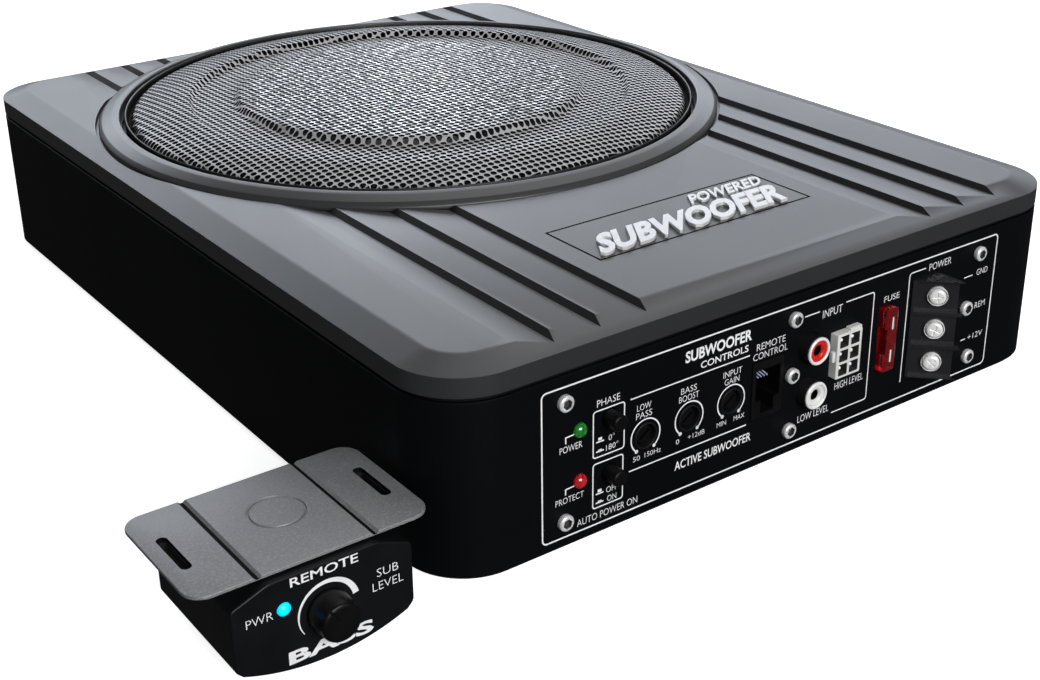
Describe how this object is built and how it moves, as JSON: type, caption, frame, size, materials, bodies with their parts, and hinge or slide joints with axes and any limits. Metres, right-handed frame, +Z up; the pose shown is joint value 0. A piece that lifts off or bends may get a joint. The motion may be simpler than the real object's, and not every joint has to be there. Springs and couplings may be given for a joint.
{
  "type": "powered under-seat subwoofer",
  "caption": "Low flat powered subwoofer with round domed grille in a bezel, ribbed cover, control wall with inputs, trimmers and power terminals, and a wired level remote.",
  "frame": {"origin": "on the floor under the middle of the case's underside", "axes": "+X right along the control wall, +Y from the control wall to the back, +Z up"},
  "size_m": [0.33, 0.3568, 0.0738],
  "materials": {
    "cover": "satin",
    "case": "satin black",
    "grille": "satin",
    "rubber": "matte",
    "black_metal": "satin black",
    "cone_paper": "matte",
    "copper": "bright",
    "spider_cloth": "matte",
    "steel": "zinc",
    "ferrite": "matte",
    "black_plastic": "matte",
    "lead_red": "satin",
    "board": "satin",
    "alloy": "mill",
    "socket_plastic": "satin",
    "fuse_red": "translucent gloss",
    "phono_red": "gloss",
    "phono_white": "gloss",
    "led_green": "clear lens",
    "led_red": "clear lens",
    "led_blue": "clear lens",
    "remote_plastic": "fine texture",
    "bracket_metal": "satin black",
    "knob_rubber": "satin",
    "screw_steel": "zinc",
    "shaft_plastic": "satin",
    "button_plastic": "satin",
    "screw_nickel": "nickel plate"
  },
  "bodies": {
    "base": {"lower_tub": "case", "top_cover": "cover", "bezel_ring": "cover", "grille": "grille", "seam_gasket": "rubber", "basket": "black_metal", "driver_gasket": "rubber", "surround": "rubber", "spider": "spider_cloth", "top_plate": "steel", "magnet": "ferrite", "back_plate": "steel", "driver_terminal": "black_plastic", "speaker_lead": "lead_red", "amp_board": "board", "heat_sink": "alloy", "remote_jack": "black_plastic", "high_level_socket": "socket_plastic", "fuse_holder": "black_plastic", "terminal_block": "black_plastic", "phono_red": "phono_red", "phono_white": "phono_white", "led_green": "led_green", "led_red": "led_red", "foot_1": "rubber", "foot_2": "rubber", "foot_3": "rubber", "foot_4": "rubber", "panel_screw_1": "screw_steel", "panel_screw_2": "screw_steel", "panel_screw_3": "screw_steel", "panel_screw_4": "screw_steel", "panel_screw_5": "screw_steel", "panel_screw_6": "screw_steel", "panel_screw_7": "screw_steel", "panel_screw_8": "screw_steel", "low_pass_pot": "black_plastic", "bass_boost_pot": "black_plastic", "input_gain_pot": "black_plastic", "phase_switch": "black_plastic", "auto_power_switch": "black_plastic"},
    "cone_assembly": {"cone": "cone_paper", "dust_cap": "cone_paper", "voice_coil": "copper"},
    "low_pass_control": {"low_pass_shaft": "shaft_plastic"},
    "bass_boost_control": {"bass_boost_shaft": "shaft_plastic"},
    "input_gain_control": {"input_gain_shaft": "shaft_plastic"},
    "phase_key": {"phase_button": "button_plastic"},
    "auto_power_key": {"auto_power_button": "button_plastic"},
    "fuse_link": {"fuse": "fuse_red"},
    "clamp_1": {"terminal_screw_1": "screw_nickel"},
    "clamp_2": {"terminal_screw_2": "screw_nickel"},
    "clamp_3": {"terminal_screw_3": "screw_nickel"},
    "remote": {"remote_housing": "remote_plastic", "remote_bracket": "bracket_metal", "remote_back": "remote_plastic", "remote_pot": "black_plastic", "remote_led": "led_blue"},
    "remote_control": {"remote_knob": "knob_rubber"}
  },
  "joints": [
    {"name": "cone_stroke", "type": "slide", "parent": "base", "child": "cone_assembly", "axis": [0, 0, 1], "range_m": [-0.005, 0.005], "stiffness_N_per_m": 2500, "deforming": ["surround", "spider"]},
    {"name": "low_pass_turn", "type": "hinge", "parent": "base", "child": "low_pass_control", "pos_m": [-0.0582, -0.1725, 0.0282], "axis": [0, -1, 0], "range_deg": [-140, 140]},
    {"name": "bass_boost_turn", "type": "hinge", "parent": "base", "child": "bass_boost_control", "pos_m": [-0.0414, -0.1725, 0.0284], "axis": [0, -1, 0], "range_deg": [-140, 140]},
    {"name": "input_gain_turn", "type": "hinge", "parent": "base", "child": "input_gain_control", "pos_m": [-0.0246, -0.1725, 0.0286], "axis": [0, -1, 0], "range_deg": [-140, 140]},
    {"name": "phase_press", "type": "slide", "parent": "base", "child": "phase_key", "axis": [0, 1, 0], "range_m": [0, 0.0025], "stiffness_N_per_m": 400, "springref_m": -0.0015},
    {"name": "auto_power_press", "type": "slide", "parent": "base", "child": "auto_power_key", "axis": [0, 1, 0], "range_m": [0, 0.0025], "stiffness_N_per_m": 400, "springref_m": -0.0015},
    {"name": "fuse_pull", "type": "slide", "parent": "base", "child": "fuse_link", "axis": [0, -1, 0], "range_m": [0, 0.022]},
    {"name": "clamp_1_turn", "type": "hinge", "parent": "base", "child": "clamp_1", "pos_m": [0.0599, -0.1785, 0.018], "axis": [-0.7071, -0.7071, 0], "range_deg": [0, 720]},
    {"name": "clamp_2_turn", "type": "hinge", "parent": "base", "child": "clamp_2", "pos_m": [0.0599, -0.1785, 0.0299], "axis": [-0.7071, -0.7071, 0], "range_deg": [0, 720]},
    {"name": "clamp_3_turn", "type": "hinge", "parent": "base", "child": "clamp_3", "pos_m": [0.0599, -0.1785, 0.0417], "axis": [-0.7071, -0.7071, 0], "range_deg": [0, 720]},
    {"name": "remote_lift", "type": "slide", "parent": "base", "child": "remote", "axis": [0, 0, 1], "range_m": [0, 0.12]},
    {"name": "remote_turn", "type": "hinge", "parent": "remote", "child": "remote_control", "pos_m": [-0.1656, -0.1745, 0.015], "axis": [0, -1, 0], "range_deg": [-150, 150]}
  ]
}
